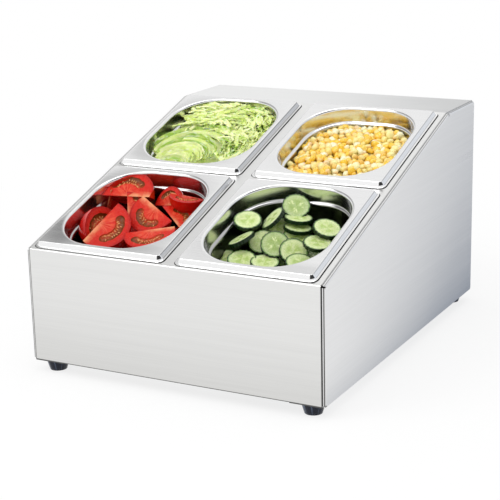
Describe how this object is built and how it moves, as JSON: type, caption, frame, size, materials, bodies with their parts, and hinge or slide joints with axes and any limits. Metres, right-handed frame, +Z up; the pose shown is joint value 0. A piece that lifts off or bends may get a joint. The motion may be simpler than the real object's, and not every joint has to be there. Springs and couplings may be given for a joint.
{
  "type": "countertop garnish station",
  "caption": "Countertop garnish station: a wedge-shaped folded steel housing on rubber feet, whose sloping deck holds lift-out food pans in front of a level shelf.",
  "frame": {"origin": "on the surface that the feet stand on, below the middle of the housing", "axes": "+X to the user's right, +Y from the front to the back, +Z up; the front apron faces -Y"},
  "size_m": [0.356, 0.44, 0.2563],
  "materials": {
    "housing_steel": "finely brushed stainless sheet, satin",
    "pan_steel": "bright polished stainless, with a satin rim",
    "rail_steel": "plain folded stainless, mill finish",
    "fastener_steel": "plain stainless fasteners",
    "foot_rubber": "glossy moulded rubber, near black with a blue tint"
  },
  "bodies": {
    "housing": {"deck_sheet": "housing_steel", "back_panel": "housing_steel", "side_panel_left": "housing_steel", "side_panel_right": "housing_steel", "base_tray": "housing_steel", "cross_rail": "rail_steel", "centre_rail_front": "rail_steel", "centre_rail_rear": "rail_steel", "foot_front_left": "foot_rubber", "foot_front_right": "foot_rubber", "foot_rear_left": "foot_rubber", "foot_rear_right": "foot_rubber", "foot_screws": "fastener_steel", "foot_washers": "fastener_steel", "foot_nuts": "fastener_steel", "base_rivets": "fastener_steel", "back_rivets": "fastener_steel"},
    "front_left_pan": {"pan_front_left": "pan_steel"},
    "front_right_pan": {"pan_front_right": "pan_steel"},
    "rear_left_pan": {"pan_rear_left": "pan_steel"},
    "rear_right_pan": {"pan_rear_right": "pan_steel"}
  },
  "joints": [
    {"name": "lift_front_left", "type": "slide", "parent": "housing", "child": "front_left_pan", "axis": [0, -0.3063, 0.9519], "range_m": [0, 0.12]},
    {"name": "lift_front_right", "type": "slide", "parent": "housing", "child": "front_right_pan", "axis": [0, -0.3063, 0.9519], "range_m": [0, 0.12]},
    {"name": "lift_rear_left", "type": "slide", "parent": "housing", "child": "rear_left_pan", "axis": [0, -0.3063, 0.9519], "range_m": [0, 0.12]},
    {"name": "lift_rear_right", "type": "slide", "parent": "housing", "child": "rear_right_pan", "axis": [0, -0.3063, 0.9519], "range_m": [0, 0.12]}
  ]
}
